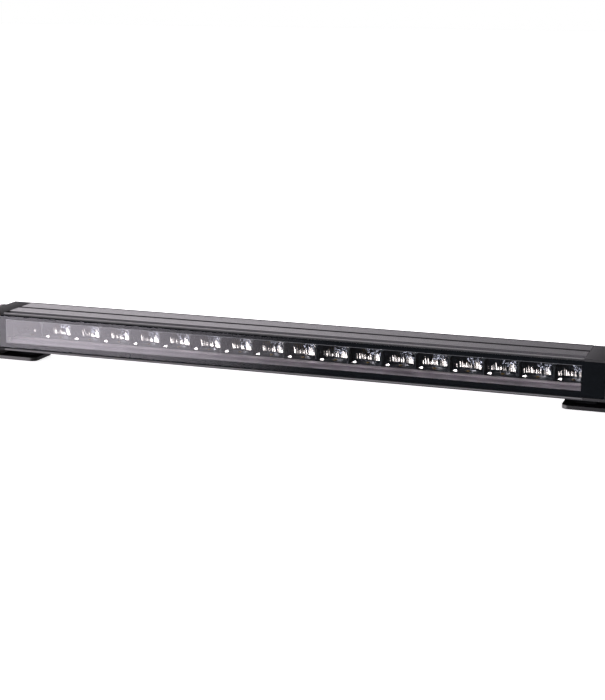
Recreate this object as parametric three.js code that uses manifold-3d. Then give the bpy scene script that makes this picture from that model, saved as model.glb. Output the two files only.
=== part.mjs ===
// A slim single-row LED light bar for trucks and trailers: a finned aluminium extrusion between two end caps,
// a clear front lens over eighteen reflector cups and a position light strip, held by two tilting foot brackets.
//
// Frame: millimetres, +X along the bar, -Y the way it shines, +Z up, the origin on the mounting surface under
// the middle of the overall box. The bar is built in its own axes (x, u, z): u runs back from the front face
// and z up from the bar's underside.

import * as THREE from 'three';
import { mergeVertices } from 'three/addons/utils/BufferGeometryUtils.js';
import Module from 'manifold-3d';

const wasm = await Module();
wasm.setup();

// ---- Driving dimensions ----

const ledCount = 18;
const ledPitch = 27.5;
const barDepth = 52;
const barHeight = 32.4;
const halfExtrusion = 245;
const halfBar = 263;
const gap = 0.3; // between pieces that touch on the real object

const lipHeight = 2.1; // the thin edges above and below the lens
const lensFront = 0.4;
const lensBack = 3.2;
const gasketBack = 4.3;
const rebateBack = 4.5;
const capEndLip = 1.2;
const window = { halfLength: 246, low: 5.9, high: 26.6 };

const chamber = { front: rebateBack, back: 36, low: 5.8, high: 27.4 };
const rearChamber = { front: 39, back: 46, low: 5.5, high: 27.3 };
const capPocketDepth = 4.2;

const backRadius = 1;
const finGroove = { count: 4, first: 6, pitch: 5.7, width: 3.2, depth: 4 };
const topGrooves = [
  { front: 5.2, back: 10.5, depth: 2.4 },
  { front: 27, back: 30.5, depth: 2.4 },
];
const frontStep = { front: 1.6, back: 5.4, depth: 1 };
const topBands = [
  { front: 10.5, back: 27 },
  { front: 30.5, back: 47 },
];
const fineGroove = { perBand: 4, width: 0.8, depth: 0.6 };
const undersideGrooves = [
  { front: 8, back: 11 },
  { front: 27, back: 30 },
];
const undersideGrooveDepth = 0.9;

const capScrews = [
  { u: 20, z: 29.5 },
  { u: 20, z: 3.2 },
  { u: 40.5, z: 29.5 },
  { u: 40.5, z: 3.2 },
];
const capScrew = { shank: 1.2, head: 2.3, cone: 1.2, recess: 1, recessDepth: 1, length: 27 };
const screwChannel = 1.55;

// Each cup is half a paraboloid lying on its back, cut off by a floor with the emitter in it.
const cup = { front: 20, vertex: 34.2, axisZ: 8.4, floorZ: 8.7, mouth: 18, halfWidth: 13.2 };
const focus = cup.mouth ** 2 / (4 * (cup.vertex - cup.front));
const reflectorBlock = { back: 35.7, low: 8 };
const reflectorModules = ['left', 'middle', 'right'];
const reflectorScrew = { z: 24.6, shank: 1, head: 2.2, headHeight: 1.3, end: 38 };
const lightStripHalfLength = 244.8;
const ledBoard = { front: 20.3, back: 35.7, low: 6.1, high: 7.7, halfLength: 244.5 };
const led = { u: cup.vertex - focus, opening: 2.2 };

const pivot = { u: 35, z: barHeight / 2 };
const plate = 3; // bracket steel
const footGap = 9.6; // between the foot and the bar's underside
const footLength = 36.5; // inboard of the bar's end
const footHalfDepth = 16;
const footCorner = 5;
const earHalfDepth = 16;
const bendRadius = 3;
const discThickness = 1.4; // friction disc between the cap and the ear
const washerThickness = 1.6;
const footSlot = { fromEnd: 20, halfWidth: 4.5, halfLength: 9 }; // it runs along the bar
const bolt = { shank: 4, head: 7, headHeight: 4.4, recess: 2.5, recessDepth: 2.6, length: 17 };

const inlet = { pad: 48, end: 66, flange: 9.5, barrel: 6, shroud: 8, socket: 6 };
const inletPocket = { halfWidth: 13, low: 5.3, high: 27.1 };
const vent = { x: -62, radius: 6.5, stem: 2.6 };

// ---- Places that follow from them ----

const frontY = -inlet.end / 2; // the overall box runs from the bar's face to the inlet's mouth
const barBottomZ = plate + footGap;
const earInner = halfBar + discThickness + 2 * 0.2;
const earOuter = earInner + plate;
const capInner = halfExtrusion + gap;

// ---- Solids ----

const axisTurns = {
  x: new THREE.Matrix4().makeBasis(
    new THREE.Vector3(0, 1, 0),
    new THREE.Vector3(0, 0, 1),
    new THREE.Vector3(1, 0, 0),
  ),
  y: new THREE.Matrix4().makeBasis(
    new THREE.Vector3(1, 0, 0),
    new THREE.Vector3(0, 0, 1),
    new THREE.Vector3(0, -1, 0),
  ),
  z: new THREE.Matrix4(),
};

// The closed solid of a geometry, ready for boolean cuts and joins.
function solid(geometry) {
  const bare = geometry.clone();
  bare.deleteAttribute('normal');
  bare.deleteAttribute('uv');
  const merged = mergeVertices(bare, 1e-4);
  return new wasm.Manifold(
    new wasm.Mesh({
      numProp: 3,
      vertProperties: merged.attributes.position.array,
      triVerts: new Uint32Array(merged.index.array),
    }),
  );
}

function geometryOf(manifold) {
  const mesh = manifold.getMesh();
  const geometry = new THREE.BufferGeometry();
  geometry.setAttribute('position', new THREE.BufferAttribute(mesh.vertProperties, 3));
  geometry.setIndex(new THREE.BufferAttribute(mesh.triVerts, 1));
  geometry.computeVertexNormals();
  return geometry;
}

// A flat shape extruded along an axis. On x it is drawn in (u, z), on y in (x, z) and on z in (x, u).
function prism(shape, axis, from, to, curveSegments = 5) {
  const geometry = new THREE.ExtrudeGeometry(shape, {
    depth: to - from,
    bevelEnabled: false,
    curveSegments,
  });
  geometry.applyMatrix4(axisTurns[axis]);
  const start = axis === 'y' ? to : from;
  const shift = { x: [start, 0, 0], y: [0, start, 0], z: [0, 0, start] }[axis];
  return solid(geometry.translate(...shift));
}

function polygon(points) {
  return new THREE.Shape(points.map(([a, b]) => new THREE.Vector2(a, b)));
}

function regular(radius, sides, [a, b] = [0, 0], turn = 0) {
  return polygon(
    Array.from({ length: sides }, (_, i) => {
      const angle = turn + (2 * Math.PI * i) / sides;
      return [a + radius * Math.cos(angle), b + radius * Math.sin(angle)];
    }),
  );
}

function rectangle(a0, b0, a1, b1) {
  return polygon([[a0, b0], [a1, b0], [a1, b1], [a0, b1]]);
}

function roundedRectangle(a0, b0, a1, b1, radius) {
  const shape = new THREE.Shape();
  shape.absarc(a1 - radius, b0 + radius, radius, -Math.PI / 2, 0);
  shape.absarc(a1 - radius, b1 - radius, radius, 0, Math.PI / 2);
  shape.absarc(a0 + radius, b1 - radius, radius, Math.PI / 2, Math.PI);
  shape.absarc(a0 + radius, b0 + radius, radius, Math.PI, 1.5 * Math.PI);
  return shape;
}

// A box in the bar's own axes.
function block([x0, u0, z0], [x1, u1, z1]) {
  return prism(rectangle(u0, z0, u1, z1), 'x', x0, x1);
}

// A round bar or hole along an axis, centred on a point of the plane across it.
function rod(axis, radius, from, to, centre, sides = 16) {
  return prism(regular(radius, sides, centre), axis, from, to);
}

// A turned solid about its own Y axis, from a profile of [radius, height] points that starts and ends on the axis.
function turned(profile, segments) {
  return solid(new THREE.LatheGeometry(profile.map(([r, h]) => new THREE.Vector2(r, h)), segments));
}

// ---- Materials ----

function material(colour, roughness, metalness) {
  return new THREE.MeshStandardMaterial({ color: colour, roughness, metalness });
}

const anodised = material(0x2b2b2d, 0.38, 0.85);
const capPaint = material(0x1c1c1d, 0.62, 0.2);
const bracketPaint = material(0x151516, 0.5, 0.3);
const clear = material(0xdfe4e6, 0.04, 0);
clear.transparent = true;
clear.opacity = 0.3;
const blackSeal = material(0x0b0b0c, 0.6, 0);
const mirrorFinish = material(0xc9ccd0, 0.08, 1);
const milky = material(0xd8d2d8, 0.3, 0);
const boardGreen = material(0x2c5a3a, 0.6, 0.1);
const boardWhite = material(0xe6e6e2, 0.5, 0);
const phosphor = material(0xe8c84a, 0.3, 0);
const stainless = material(0xb8babd, 0.3, 1);
const blackSteel = material(0x18181a, 0.45, 0.8);
const blackPlastic = material(0x121214, 0.5, 0);
const brass = material(0xb98f3f, 0.3, 1);
const nylon = material(0x2a2a2c, 0.7, 0);
const redWire = material(0xa01c18, 0.5, 0);
const blackWire = material(0x141414, 0.5, 0);

// ---- The extrusion ----

// The narrow slots that part a top band into fine ribs, rear slot first.
function fineSlots(band) {
  const pitch = (band.back - band.front) / (fineGroove.perBand + 1);
  return Array.from({ length: fineGroove.perBand }, (_, i) => {
    const middle = band.back - pitch * (i + 1);
    const half = fineGroove.width / 2;
    return { front: middle - half, back: middle + half, depth: fineGroove.depth };
  });
}

// The section of the extrusion in (u, z), run anticlockwise from the lower front lip.
function extrusionShape() {
  const shape = new THREE.Shape();
  shape.moveTo(0, 0);
  for (const groove of undersideGrooves) {
    shape.lineTo(groove.front, 0);
    shape.lineTo(groove.front, undersideGrooveDepth);
    shape.lineTo(groove.back, undersideGrooveDepth);
    shape.lineTo(groove.back, 0);
  }
  shape.absarc(barDepth - backRadius, backRadius, backRadius, -Math.PI / 2, 0);
  for (let i = 0; i < finGroove.count; i++) {
    const low = finGroove.first + i * finGroove.pitch;
    shape.lineTo(barDepth, low);
    shape.lineTo(barDepth - finGroove.depth, low);
    shape.lineTo(barDepth - finGroove.depth, low + finGroove.width);
    shape.lineTo(barDepth, low + finGroove.width);
  }
  shape.absarc(barDepth - backRadius, barHeight - backRadius, backRadius, 0, Math.PI / 2);
  const slots = [...topGrooves, ...topBands.flatMap(fineSlots)].sort((a, b) => b.back - a.back);
  for (const slot of slots) {
    shape.lineTo(slot.back, barHeight);
    shape.lineTo(slot.back, barHeight - slot.depth);
    shape.lineTo(slot.front, barHeight - slot.depth);
    shape.lineTo(slot.front, barHeight);
  }
  shape.lineTo(0, barHeight);
  shape.lineTo(0, barHeight - lipHeight);
  shape.lineTo(rebateBack, barHeight - lipHeight);
  shape.lineTo(chamber.front, chamber.high);
  shape.lineTo(chamber.back, chamber.high);
  shape.lineTo(chamber.back, chamber.low);
  shape.lineTo(chamber.front, chamber.low);
  shape.lineTo(rebateBack, lipHeight);
  shape.lineTo(0, lipHeight);
  const rear = rearChamber;
  shape.holes.push(rectangle(rear.front, rear.low, rear.back, rear.high));
  for (const { u, z } of capScrews) shape.holes.push(regular(screwChannel, 10, [u, z]));
  return shape;
}

function housing() {
  const blank = prism(extrusionShape(), 'x', -halfExtrusion, halfExtrusion);
  const { front, back, depth } = frontStep;
  const end = halfExtrusion + 1;
  let body = blank.subtract(block([-end, front, barHeight - depth], [end, back, barHeight + 1]));
  const { halfWidth, low, high } = inletPocket;
  for (const [x, half] of [[0, halfWidth], [vent.x, vent.radius + 1.5]]) {
    body = body.subtract(block([x - half, inlet.pad, low], [x + half, barDepth + 1, high]));
  }
  const wall = [rearChamber.back - 1, inlet.pad + 1];
  body = body.subtract(rod('y', inlet.barrel + gap, ...wall, [0, pivot.z], 20));
  body = body.subtract(rod('y', vent.stem + gap, ...wall, [vent.x, pivot.z], 12));
  for (const x of reflectorCentres()) {
    const { shank, z } = reflectorScrew;
    body = body.subtract(rod('y', shank + gap, chamber.back - 1, rearChamber.front + 1, [x, z], 8));
  }
  return geometryOf(body);
}

// ---- End caps, drawn for the right-hand end and mirrored for the left ----

function endCap() {
  const shape = new THREE.Shape();
  shape.moveTo(0, 0);
  shape.lineTo(barDepth - backRadius, 0);
  shape.absarc(barDepth - backRadius, backRadius, backRadius, -Math.PI / 2, 0);
  shape.absarc(barDepth - backRadius, barHeight - backRadius, backRadius, 0, Math.PI / 2);
  shape.lineTo(0, barHeight);
  let cap = prism(shape, 'x', capInner, halfBar);
  const lensEnd = halfBar - capEndLip;
  cap = cap.subtract(block([capInner - 1, -1, lipHeight], [lensEnd, rebateBack, barHeight - lipHeight]));
  const { front, back, low, high } = chamber;
  cap = cap.subtract(block([capInner - 1, front - 0.5, low], [capInner + capPocketDepth, back, high]));
  const seat = prism(capGasketShape(gap), 'x', capInner - 1, capInner + 1.1);
  cap = cap.subtract(seat);
  cap = cap.subtract(rod('x', bolt.shank + gap, halfBar - 12, halfBar + 1, [pivot.u, pivot.z], 24));
  for (const { u, z } of capScrews) {
    cap = cap.subtract(rod('x', screwChannel, capInner - 1, halfBar + 1, [u, z], 10));
    const sink = turned([[0, -1.7], [capScrew.shank, -1.7], [capScrew.head + gap, 0.2], [0, 0.2]], 12);
    cap = cap.subtract(sink.rotate([0, 0, -90]).translate([halfBar, u, z]));
  }
  return geometryOf(cap);
}

// The flat ring between a cap and the extrusion; grow is how far its seat in the cap stands clear of it.
function capGasketShape(grow) {
  const ring = rectangle(rebateBack + 0.5 - grow, 0.9 - grow, 47.4 + grow, 29.6 + grow);
  const { back, low, high } = chamber;
  ring.holes.push(rectangle(rebateBack + 1.6 + grow, low + grow, back - grow, high - grow));
  return ring;
}

function capGasket() {
  let ring = prism(capGasketShape(0), 'x', halfExtrusion + 0.15, capInner + 0.8);
  for (const { u, z } of capScrews) {
    ring = ring.subtract(rod('x', screwChannel, halfExtrusion - 1, halfExtrusion + 3, [u, z], 10));
  }
  return geometryOf(ring);
}

function capScrewGeometry() {
  const { shank, head, cone, recess, recessDepth, length } = capScrew;
  const profile = [[0, -length], [shank, -length], [shank, -cone], [head, 0], [recess, 0]];
  profile.push([recess, -recessDepth], [0, -recessDepth]);
  return new THREE.LatheGeometry(profile.map(([r, h]) => new THREE.Vector2(r, h)), 10);
}

// ---- Lens, seal and position light ----

const lensEnd = halfBar - capEndLip - gap;

function frontLens() {
  const low = lipHeight + gap;
  return geometryOf(block([-lensEnd, lensFront, low], [lensEnd, lensBack, barHeight - low]));
}

// The black seal behind the lens. It frames the window.
function lensSeal() {
  const low = lipHeight + gap;
  const frame = rectangle(-lensEnd, low, lensEnd, barHeight - low);
  const { halfLength } = window;
  frame.holes.push(rectangle(-halfLength, window.low, halfLength, window.high));
  return geometryOf(prism(frame, 'y', lensBack + 0.2, gasketBack));
}

// The milky strip along the foot of the window, with one long valley between its two bands.
function positionLight() {
  const section = polygon([
    [5.2, 6.1], [19.6, 6.1], [19.6, 8.7], [13.2, 8], [12.4, 7.4], [11.6, 7.7], [5.2, 6.8],
  ]);
  return geometryOf(prism(section, 'x', -lightStripHalfLength, lightStripHalfLength));
}

function positionEmitter() {
  return geometryOf(block([0, 6.8, 6.8], [2.4, 12, 8.6]));
}

// ---- Light engine ----

function ledX(index) {
  return (index - (ledCount - 1) / 2) * ledPitch;
}

function reflectorCentres() {
  const perModule = ledCount / reflectorModules.length;
  return reflectorModules.map((_, i) => (i - (reflectorModules.length - 1) / 2) * perModule * ledPitch);
}

// What is cut from a reflector for the cup round x = 0.
function cupCutter() {
  const depth = cup.vertex - cup.front;
  const radiusAt = (h) => cup.mouth * Math.sqrt(h / depth);
  const heights = [0, 0.3, 1.2, 2.8, 5, 8, 11, depth, depth + 0.6];
  const bowl = turned([...heights.map((h) => [radiusAt(h), h]), [0, depth + 0.6]], 40);
  const above = block([-cup.halfWidth, cup.front - 0.5, cup.floorZ], [cup.halfWidth, cup.vertex, chamber.high]);
  return bowl.rotate([180, 0, 0]).translate([0, cup.vertex, cup.axisZ]).intersect(above);
}

// One moulding with a third of the cups, centred on x = 0.
function reflectorModule() {
  const perModule = ledCount / reflectorModules.length;
  const half = (perModule * ledPitch) / 2 - 0.15;
  const high = chamber.high - gap;
  let body = block([-half, cup.front, reflectorBlock.low], [half, reflectorBlock.back, high]);
  const opening = rod('z', led.opening, reflectorBlock.low - 1, cup.floorZ + 0.5, [0, led.u], 16);
  const cutter = cupCutter().add(opening);
  for (let i = 0; i < perModule; i++) {
    body = body.subtract(cutter.translate([(i - (perModule - 1) / 2) * ledPitch, 0, 0]));
  }
  const { shank, z } = reflectorScrew;
  const hole = rod('y', shank + gap, cup.front - 1, reflectorBlock.back + 1, [0, z], 8);
  return geometryOf(body.subtract(hole));
}

// The board lies on the chamber's floor, under the reflectors.
function ledBoardGeometry() {
  const { front, back, low, high, halfLength } = ledBoard;
  return geometryOf(block([-halfLength, front, low], [halfLength, back, high]));
}

// An emitter that shines up into its cup.
function ledGeometry() {
  const profile = [[0, 0], [1.8, 0], [1.8, 0.6], [1.5, 0.6], [1.1, 1.3], [0, 1.7]];
  return new THREE.LatheGeometry(profile.map(([r, h]) => new THREE.Vector2(r, h)), 8);
}

function reflectorScrewGeometry() {
  const { shank, head, headHeight, end } = reflectorScrew;
  const length = end - cup.front;
  const profile = [[0, -length], [shank, -length], [shank, 0.1], [head, 0.1], [head, headHeight - 0.4]];
  profile.push([head - 0.5, headHeight], [0, headHeight]);
  return new THREE.LatheGeometry(profile.map(([r, h]) => new THREE.Vector2(r, h)), 10);
}

// The driver board stands in the rear chamber with its coil, capacitors and regulator on it.
function driverBoard() {
  const board = { x0: 40, x1: 150, u0: 39.5, u1: 41.1, low: 7.1, high: 25.3 };
  const parts = [
    { x: 56, w: 12, h: 12, t: 3.6 },
    { x: 76, w: 8, h: 8, t: 3.2 },
    { x: 90, w: 8, h: 8, t: 3.2 },
    { x: 108, w: 14, h: 9, t: 1.6 },
    { x: 132, w: 6, h: 5, t: 1.2 },
  ];
  let body = block([board.x0, board.u0, board.low], [board.x1, board.u1, board.high]);
  for (const { x, w, h, t } of parts) {
    const low = [x - w / 2, board.u1 - 0.5, pivot.z - h / 2];
    body = body.add(block(low, [x + w / 2, board.u1 + t, pivot.z + h / 2]));
  }
  return geometryOf(body);
}

// An insulated lead from the back of the inlet to the driver board.
function lead(z, rise) {
  const path = new THREE.CatmullRomCurve3([
    new THREE.Vector3(1.5, 42.6, z),
    new THREE.Vector3(2.6, 41, z),
    new THREE.Vector3(7, 40.4, z + rise * 0.2),
    new THREE.Vector3(20, 40.6, z + rise * 0.6),
    new THREE.Vector3(39.5, 40.3, z + rise),
  ]);
  return new THREE.ExtrudeGeometry(regular(0.8, 8), { steps: 10, extrudePath: path });
}

// ---- Inlet and breather on the back ----

function inletBody() {
  const { pad, end, flange, barrel, shroud, socket } = inlet;
  const profile = [
    [0, 43], [barrel, 43], [barrel, pad + 1.2], [flange, pad + 1.2], [flange, pad + 4.2],
    [shroud, pad + 4.2], [shroud, end], [socket, end], [socket, 56], [0, 56],
  ];
  return geometryOf(turned(profile, 20));
}

function inletPins() {
  const seat = inlet.socket - gap;
  let body = rod('y', seat, 56.2, 58, [0, 0], 16);
  for (const [x, z] of [[-2.4, -2.4], [2.4, -2.4], [-2.4, 2.4], [2.4, 2.4]]) {
    body = body.add(rod('y', 0.8, 57.5, 61, [x, z], 8));
  }
  return geometryOf(body);
}

function inletSeal() {
  const ring = regular(8.6, 20);
  ring.holes.push(regular(inlet.barrel + gap, 20));
  return geometryOf(prism(ring, 'y', inlet.pad + 0.2, inlet.pad + 1));
}

function inletNut() {
  const hex = regular(9.2, 6, [0, 0], Math.PI / 6);
  hex.holes.push(regular(inlet.barrel + gap, 20));
  return geometryOf(prism(hex, 'y', 43.3, 45.7));
}

function ventPlug() {
  const { radius, stem } = vent;
  const profile = [
    [0, 44.5], [stem, 44.5], [stem, 48.3], [radius - 1, 48.3], [radius, 49], [radius, 50.6], [radius - 1, 51.4],
    [0, 51.4],
  ];
  return geometryOf(turned(profile, 16));
}

// ---- Foot brackets, drawn for the right-hand end in the part's frame ----

function bracket() {
  const pivotY = frontY + pivot.u;
  const pivotZ = barBottomZ + pivot.z;
  const inner = halfBar - footLength;
  const top = pivotZ + earHalfDepth;
  const outerRadius = bendRadius + plate;
  const fold = new THREE.Shape();
  fold.moveTo(inner, 0);
  fold.lineTo(earOuter - outerRadius, 0);
  fold.absarc(earOuter - outerRadius, outerRadius, outerRadius, -Math.PI / 2, 0);
  fold.lineTo(earOuter, top);
  fold.lineTo(earInner, top);
  fold.absarc(earInner - bendRadius, outerRadius, bendRadius, 0, -Math.PI / 2, true);
  fold.lineTo(inner, plate);
  const strip = prism(fold, 'y', pivotY - footHalfDepth, pivotY + footHalfDepth, 4);
  const outline = new THREE.Shape();
  outline.moveTo(pivotY + earHalfDepth, -1);
  outline.lineTo(pivotY + earHalfDepth, pivotZ);
  outline.absarc(pivotY, pivotZ, earHalfDepth, 0, Math.PI);
  outline.lineTo(pivotY - earHalfDepth, -1);
  const earRound = prism(outline, 'x', inner - 1, earOuter + 1, 20);
  const reach = earOuter + 2 * footCorner;
  const plan = roundedRectangle(inner, pivotY - footHalfDepth, reach, pivotY + footHalfDepth, footCorner);
  const footRound = prism(plan, 'z', -1, top + 1);
  const slotX = halfBar - footSlot.fromEnd;
  const { halfWidth, halfLength } = footSlot;
  const slot = roundedRectangle(
    slotX - halfLength, pivotY - halfWidth, slotX + halfLength, pivotY + halfWidth, halfWidth - 0.01,
  );
  const hole = rod('x', bolt.shank + 0.5, earInner - 1, earOuter + 1, [pivotY, pivotZ], 24);
  const blank = strip.intersect(earRound).intersect(footRound);
  return geometryOf(blank.subtract(prism(slot, 'z', -1, plate + 1)).subtract(hole));
}

function ringGeometry(outer, inner, thickness) {
  const ring = regular(outer, 24);
  ring.holes.push(regular(inner, 24));
  return geometryOf(prism(ring, 'x', 0, thickness));
}

// A button-head bolt along +X with the underside of its head at x = 0.
function pivotBolt() {
  const { shank, head, headHeight, recess, recessDepth, length } = bolt;
  const profile = [
    [0, -length], [shank, -length], [shank, 0], [head, 0], [head, 1], [head - 1.2, 3.2], [recess + 1, headHeight],
    [0, headHeight],
  ];
  const socket = rod('y', recess, headHeight - recessDepth, headHeight + 1, [0, 0], 6);
  return geometryOf(turned(profile, 20).subtract(socket).rotate([0, 0, -90]));
}

// ---- Assembly ----

function named(name, geometry, finish, x = 0, u = 0, z = 0) {
  const mesh = new THREE.Mesh(geometry, finish);
  mesh.name = name;
  mesh.position.set(x, u, z);
  return mesh;
}

// The same piece at both ends of the bar, the left one mirrored.
function atBothEnds(group, name, geometry, finish, x = 0, u = 0, z = 0) {
  const right = named(name.replace('SIDE', 'right'), geometry, finish, x, u, z);
  const left = named(name.replace('SIDE', 'left'), geometry, finish, -x, u, z);
  left.scale.x = -1;
  group.add(left, right);
}

function addEnds(bar) {
  atBothEnds(bar, 'end_cap_SIDE', endCap(), capPaint);
  atBothEnds(bar, 'cap_gasket_SIDE', capGasket(), blackSeal);
  const screw = capScrewGeometry().rotateZ(-Math.PI / 2);
  capScrews.forEach(({ u, z }, i) => {
    atBothEnds(bar, `cap_screw_SIDE_${i + 1}`, screw, stainless, halfBar - 0.1, u, z);
  });
  const disc = ringGeometry(11, bolt.shank + 0.4, discThickness);
  atBothEnds(bar, 'friction_disc_SIDE', disc, nylon, halfBar + 0.2, pivot.u, pivot.z);
  const washer = ringGeometry(8, bolt.shank + 0.4, washerThickness);
  const washerX = earOuter + 0.2;
  atBothEnds(bar, 'flat_washer_SIDE', washer, stainless, washerX, pivot.u, pivot.z);
  const headX = washerX + washerThickness + 0.2;
  atBothEnds(bar, 'pivot_bolt_SIDE', pivotBolt(), stainless, headX, pivot.u, pivot.z);
}

function addFront(bar) {
  bar.add(named('front_lens', frontLens(), clear));
  bar.add(named('lens_seal', lensSeal(), blackSeal));
  bar.add(named('position_light_strip', positionLight(), milky));
  atBothEnds(bar, 'position_emitter_SIDE', positionEmitter(), boardWhite, lightStripHalfLength + gap);
}

function addLightEngine(bar) {
  bar.add(named('led_board', ledBoardGeometry(), boardWhite));
  const moulding = reflectorModule();
  const screw = reflectorScrewGeometry().rotateX(Math.PI);
  reflectorCentres().forEach((x, i) => {
    bar.add(named(`reflector_${reflectorModules[i]}`, moulding, mirrorFinish, x));
    bar.add(named(`reflector_screw_${i + 1}`, screw, blackSteel, x, cup.front - 0.1, reflectorScrew.z));
  });
  const emitter = ledGeometry().rotateX(Math.PI / 2);
  for (let i = 0; i < ledCount; i++) {
    const name = `led_${String(i + 1).padStart(2, '0')}`;
    bar.add(named(name, emitter, phosphor, ledX(i), led.u, ledBoard.high + 0.2));
  }
}

function addBack(bar) {
  bar.add(named('driver_board', driverBoard(), boardGreen));
  bar.add(named('lead_red', lead(18.7, 1.5), redWire));
  bar.add(named('lead_black', lead(13.7, -1.5), blackWire));
  bar.add(named('inlet_body', inletBody(), blackPlastic, 0, 0, pivot.z));
  bar.add(named('inlet_pins', inletPins(), brass, 0, 0, pivot.z));
  bar.add(named('inlet_seal', inletSeal(), blackSeal, 0, 0, pivot.z));
  bar.add(named('inlet_nut', inletNut(), brass, 0, 0, pivot.z));
  bar.add(named('breather_vent', ventPlug(), blackPlastic, vent.x, 0, pivot.z));
}

const lightBar = new THREE.Group();
const bar = new THREE.Group();
bar.position.set(0, frontY, barBottomZ);
bar.add(named('housing', housing(), anodised));
addEnds(bar);
addFront(bar);
addLightEngine(bar);
addBack(bar);
lightBar.add(bar);
atBothEnds(lightBar, 'bracket_SIDE', bracket(), bracketPaint);

export default lightBar;
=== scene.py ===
"""The looks of a slim LED light bar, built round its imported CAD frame.

The frame is in metres: +X along the bar, -Y the way it shines, +Z up. The bar's pieces are drawn in
millimetres in the bar's own axes (x, u, z), where u runs back from the front face and z up from the
underside, and at() carries a point from there to the frame.
"""
import math
import random
from functools import partial

import bmesh
import bpy
from mathutils import Matrix, Vector


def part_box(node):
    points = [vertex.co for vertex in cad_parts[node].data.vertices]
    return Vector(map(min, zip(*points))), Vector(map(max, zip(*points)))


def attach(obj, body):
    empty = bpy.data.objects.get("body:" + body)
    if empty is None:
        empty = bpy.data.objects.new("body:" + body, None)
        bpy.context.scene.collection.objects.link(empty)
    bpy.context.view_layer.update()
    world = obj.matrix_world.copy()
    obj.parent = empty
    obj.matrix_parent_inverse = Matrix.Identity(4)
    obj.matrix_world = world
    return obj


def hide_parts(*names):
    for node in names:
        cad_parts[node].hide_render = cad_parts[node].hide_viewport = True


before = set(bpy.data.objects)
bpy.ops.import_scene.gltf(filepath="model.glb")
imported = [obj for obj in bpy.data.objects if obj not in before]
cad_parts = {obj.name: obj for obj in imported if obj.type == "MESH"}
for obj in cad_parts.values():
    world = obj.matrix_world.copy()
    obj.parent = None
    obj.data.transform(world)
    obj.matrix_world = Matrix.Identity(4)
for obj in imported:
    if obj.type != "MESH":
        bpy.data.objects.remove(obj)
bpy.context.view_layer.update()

MM = 0.001
EXTRUSION_LOW, EXTRUSION_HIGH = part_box("housing")
FRONT_Y = EXTRUSION_LOW.y
UNDERSIDE_Z = EXTRUSION_LOW.z
HALF_EXTRUSION = EXTRUSION_HIGH.x / MM
DEPTH = (EXTRUSION_HIGH.y - EXTRUSION_LOW.y) / MM
HEIGHT = (EXTRUSION_HIGH.z - EXTRUSION_LOW.z) / MM
CAP_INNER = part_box("end_cap_right")[0].x / MM
CAP_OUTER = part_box("end_cap_right")[1].x / MM

LED_COUNT = 18
LED_PITCH = 27.5
VENT_X = -62
PIVOT_U = 35
PIVOT_Z = HEIGHT / 2
SIDES = {"left": -1, "right": 1}
MODULES = ("left", "middle", "right")
PER_MODULE = LED_COUNT // len(MODULES)


def at(x, u, z):
    """A point of the bar's own axes, in millimetres, as a point of the frame."""
    return Vector((x * MM, FRONT_Y + u * MM, UNDERSIDE_Z + z * MM))


def direction(azimuth, elevation):
    """A way to look from the bar: azimuth from the front towards its left end, elevation from the level."""
    a, e = math.radians(azimuth), math.radians(elevation)
    return Vector((-math.sin(a) * math.cos(e), -math.cos(a) * math.cos(e), math.sin(e)))


# ---- Meshes ----


def piece(name, verts, faces, material=None, smooth=40):
    """A new mesh object, with its normals outward and its shading split at sharp edges."""
    mesh = bpy.data.meshes.new(name)
    mesh.from_pydata([tuple(v) for v in verts], [], faces)
    tidy_mesh(mesh)
    obj = bpy.data.objects.new(name, mesh)
    bpy.context.scene.collection.objects.link(obj)
    shade(obj, smooth)
    if material:
        mesh.materials.append(material)
    return obj


def tidy_mesh(mesh):
    """Merges the vertices that coincide and turns the faces outward."""
    bm = bmesh.new()
    bm.from_mesh(mesh)
    bmesh.ops.remove_doubles(bm, verts=bm.verts, dist=1e-7)
    bmesh.ops.recalc_face_normals(bm, faces=bm.faces)
    bm.to_mesh(mesh)
    bm.free()


def shade(obj, degrees):
    """Smooth shading, with an edge kept sharp where its faces meet at more than that angle."""
    mesh = obj.data
    mesh.polygons.foreach_set("use_smooth", [True] * len(mesh.polygons))
    mesh.set_sharp_from_angle(angle=math.radians(degrees))
    mesh.update()


def arc(cx, cy, radius, start, end, steps):
    """Points on an arc, angles in degrees."""
    angles = [math.radians(start + (end - start) * i / steps) for i in range(steps + 1)]
    return [(cx + radius * math.cos(a), cy + radius * math.sin(a)) for a in angles]


def ring(radius, sides, cx=0, cy=0, turn=0):
    """Points evenly round a circle, from that angle on."""
    return arc(cx, cy, radius, turn, turn + 360 * (sides - 1) / sides, sides - 1)


def rounded(points, radius):
    """The closed outline with every corner rounded, by less where its sides are short."""
    out = []
    count, steps = len(points), 2
    for i, point in enumerate(points):
        p = Vector(point)
        before = Vector(points[i - 1]) - p
        after = Vector(points[(i + 1) % count]) - p
        turn = before.angle(after)
        if turn > math.radians(165):
            out.append(tuple(p))
            continue
        cut = min(radius / math.tan(turn / 2), before.length * 0.45, after.length * 0.45)
        a = p + before.normalized() * cut
        b = p + after.normalized() * cut
        for k in range(steps + 1):
            t = k / steps
            out.append(tuple(a * (1 - t) ** 2 + p * 2 * t * (1 - t) + b * t ** 2))
    return out


def loft(name, sections, material=None, smooth=40):
    """A closed solid through rings of points, all with the same count."""
    count = len(sections[0])
    verts = [v for section in sections for v in section]
    faces = [tuple(range(count)), tuple(range(len(verts) - count, len(verts)))]
    for s in range(len(sections) - 1):
        for i in range(count):
            j = (i + 1) % count
            a, b = s * count, (s + 1) * count
            faces.append((a + i, a + j, b + j, b + i))
    return piece(name, verts, faces, material, smooth)


def along_x(name, outline, x0, x1, material=None):
    """An outline in (u, z) extruded along the bar."""
    return loft(name, [[at(x, u, z) for u, z in outline] for x in (x0, x1)], material)


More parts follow.
